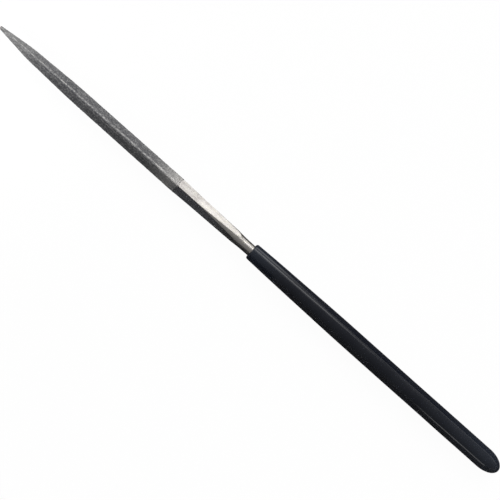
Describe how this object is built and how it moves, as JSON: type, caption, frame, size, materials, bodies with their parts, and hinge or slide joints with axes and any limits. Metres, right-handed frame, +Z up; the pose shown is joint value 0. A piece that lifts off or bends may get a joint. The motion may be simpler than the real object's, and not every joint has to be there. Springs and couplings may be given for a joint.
{
  "type": "square diamond needle file",
  "caption": "Slim square diamond-coated needle file: tapered blade, bare square shank and a smooth round vinyl-sleeved handle, for filing slots and inside corners.",
  "frame": {"origin": "midway along the file, below its axis on the surface that the handle rests on", "axes": "+X along the file from the point to the butt, +Z up; the square blade lies with one long edge up, so its flats face 45 degrees off vertical"},
  "size_m": [0.14, 0.0046, 0.0046],
  "materials": {
    "bare_steel": "satin ground steel, faintly warm, fine lengthwise marks",
    "diamond_nickel": "matte sparkling grit held in dark grey nickel",
    "vinyl": "glossy navy-black soft vinyl"
  },
  "bodies": {
    "root": {"steel_blank": "bare_steel", "diamond_coating": "diamond_nickel", "handle_sleeve": "vinyl"}
  },
  "joints": []
}
